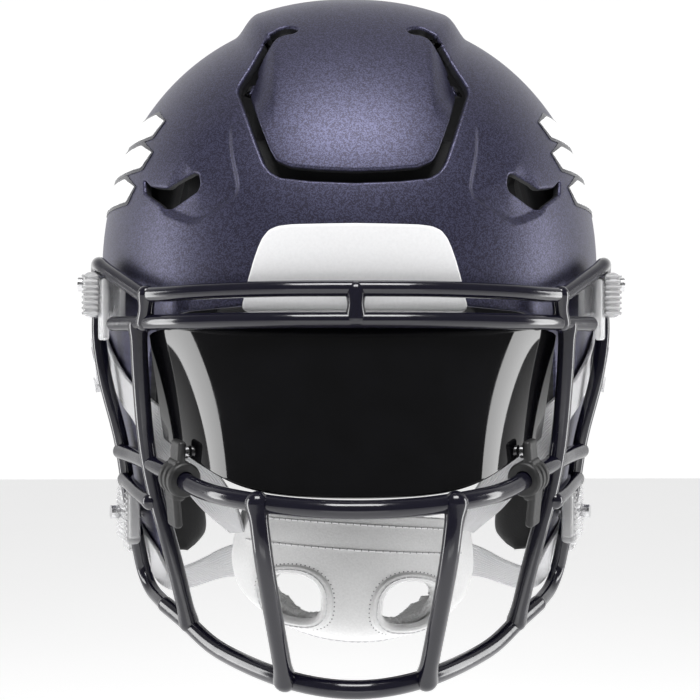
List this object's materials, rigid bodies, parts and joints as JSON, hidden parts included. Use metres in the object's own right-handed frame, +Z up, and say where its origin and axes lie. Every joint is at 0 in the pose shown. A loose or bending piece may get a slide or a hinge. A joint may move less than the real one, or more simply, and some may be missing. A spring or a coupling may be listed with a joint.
{
  "type": "american football helmet",
  "caption": "Protective sports helmet: rigid shell with flexing brow panel, liner pads, wire face mask that swings up, tinted eye shield and chin cup on four straps.",
  "frame": {"origin": "centre of the head cavity, on the line between the two ear holes", "axes": "the face opening looks along -Y, +X is the wearer's left, +Z is up"},
  "size_m": [0.2422, 0.3279, 0.2944],
  "materials": {
    "shell_paint": "matte metallic paint with fine flake",
    "bumper_white": "satin moulded plastic",
    "bumper_black": "satin moulded plastic",
    "decal_film": "gloss vinyl film",
    "valve_rubber": "matt",
    "buckle_plastic": "fine moulded grain",
    "clip_clear": "clear moulded polycarbonate",
    "steel": "turned stainless",
    "jaw_pad_cover": "knit over foam",
    "liner_pad": "knit and film over foam",
    "shield_tint": "polished dark smoke",
    "ring_rubber": "satin",
    "cup_leather": "smooth bound leather",
    "cup_liner": "brushed fleece",
    "webbing": "woven webbing",
    "mask_coat": "gloss powder coat"
  },
  "bodies": {
    "shell": {"shell": "shell_paint", "front_bumper": "bumper_white", "rear_bumper": "bumper_black", "rear_bumper_screws": "steel", "decal_left": "decal_film", "decal_right": "decal_film", "front_pad": "liner_pad", "crown_pad": "liner_pad", "side_pad_left": "liner_pad", "side_pad_right": "liner_pad", "back_pad": "liner_pad", "neck_pad": "liner_pad", "jaw_pad_left": "jaw_pad_cover", "jaw_pad_right": "jaw_pad_cover", "crown_air_valve": "valve_rubber", "rear_air_valve": "valve_rubber", "upper_clip_left": "clip_clear", "upper_clip_right": "clip_clear", "lower_clip_studs": "steel", "chin_cup": "cup_leather", "chin_cup_liner": "cup_liner", "upper_strap_left": "webbing", "upper_strap_right": "webbing", "lower_strap_left": "webbing", "lower_strap_right": "webbing", "strap_studs": "steel", "strap_snaps": "buckle_plastic", "upper_buckle_left": "buckle_plastic", "upper_buckle_right": "buckle_plastic", "lower_buckle_left": "buckle_plastic", "lower_buckle_right": "buckle_plastic"},
    "flex_panel": {"flex_panel": "shell_paint"},
    "facemask": {"upper_brow_bar": "mask_coat", "lower_brow_bar": "mask_coat", "brow_post": "mask_coat", "brow_end_posts": "mask_coat", "mouth_bar": "mask_coat", "chin_bar": "mask_coat", "chin_post_left": "mask_coat", "chin_post_right": "mask_coat", "side_bar_left": "mask_coat", "side_bar_right": "mask_coat", "outer_bar_left": "mask_coat", "outer_bar_right": "mask_coat", "lower_link_left": "mask_coat", "lower_link_right": "mask_coat", "eye_shield": "shield_tint", "shield_clip_left": "ring_rubber", "shield_clip_right": "ring_rubber", "shield_screws": "steel", "lower_clip_left": "clip_clear", "lower_clip_right": "clip_clear"},
    "upper_pin_left": {"upper_push_pin_left": "steel"},
    "lower_pin_left": {"lower_push_pin_left": "steel"},
    "upper_lever_left": {"upper_cam_lever_left": "buckle_plastic"},
    "lower_lever_left": {"lower_cam_lever_left": "buckle_plastic"},
    "upper_pin_right": {"upper_push_pin_right": "steel"},
    "lower_pin_right": {"lower_push_pin_right": "steel"},
    "upper_lever_right": {"upper_cam_lever_right": "buckle_plastic"},
    "lower_lever_right": {"lower_cam_lever_right": "buckle_plastic"}
  },
  "joints": [
    {"name": "mask_swing", "type": "hinge", "parent": "shell", "child": "facemask", "pos_m": [0, -0.08, 0.028], "axis": [-1, 0, 0], "range_deg": [0, 30]},
    {"name": "panel_flex", "type": "hinge", "parent": "shell", "child": "flex_panel", "pos_m": [0, -0.088, 0.134], "axis": [1, 0, 0], "range_deg": [0, 3], "stiffness_Nm_per_rad": 30},
    {"name": "upper_pin_left_press", "type": "slide", "parent": "shell", "child": "upper_pin_left", "axis": [-1, 0, 0], "range_m": [0, 0.0025], "stiffness_N_per_m": 900},
    {"name": "lower_pin_left_press", "type": "slide", "parent": "facemask", "child": "lower_pin_left", "axis": [-0.9397, 0.342, 0], "range_m": [0, 0.002], "stiffness_N_per_m": 900},
    {"name": "upper_lever_left_open", "type": "hinge", "parent": "shell", "child": "upper_lever_left", "pos_m": [0.11336, -0.04911, -0.00864], "axis": [0.0527, 0.6352, -0.7706], "range_deg": [0, 75]},
    {"name": "lower_lever_left_open", "type": "hinge", "parent": "shell", "child": "lower_lever_left", "pos_m": [0.10513, -0.01904, -0.07924], "axis": [-0.1946, 0.3117, -0.93], "range_deg": [0, 75]},
    {"name": "upper_pin_right_press", "type": "slide", "parent": "shell", "child": "upper_pin_right", "axis": [1, 0, 0], "range_m": [0, 0.0025], "stiffness_N_per_m": 900},
    {"name": "lower_pin_right_press", "type": "slide", "parent": "facemask", "child": "lower_pin_right", "axis": [0.9397, 0.342, 0], "range_m": [0, 0.002], "stiffness_N_per_m": 900},
    {"name": "upper_lever_right_open", "type": "hinge", "parent": "shell", "child": "upper_lever_right", "pos_m": [-0.11336, -0.04911, -0.00864], "axis": [0.0527, -0.6352, 0.7706], "range_deg": [0, 75]},
    {"name": "lower_lever_right_open", "type": "hinge", "parent": "shell", "child": "lower_lever_right", "pos_m": [-0.10513, -0.01904, -0.07924], "axis": [-0.1946, -0.3117, 0.93], "range_deg": [0, 75]}
  ]
}
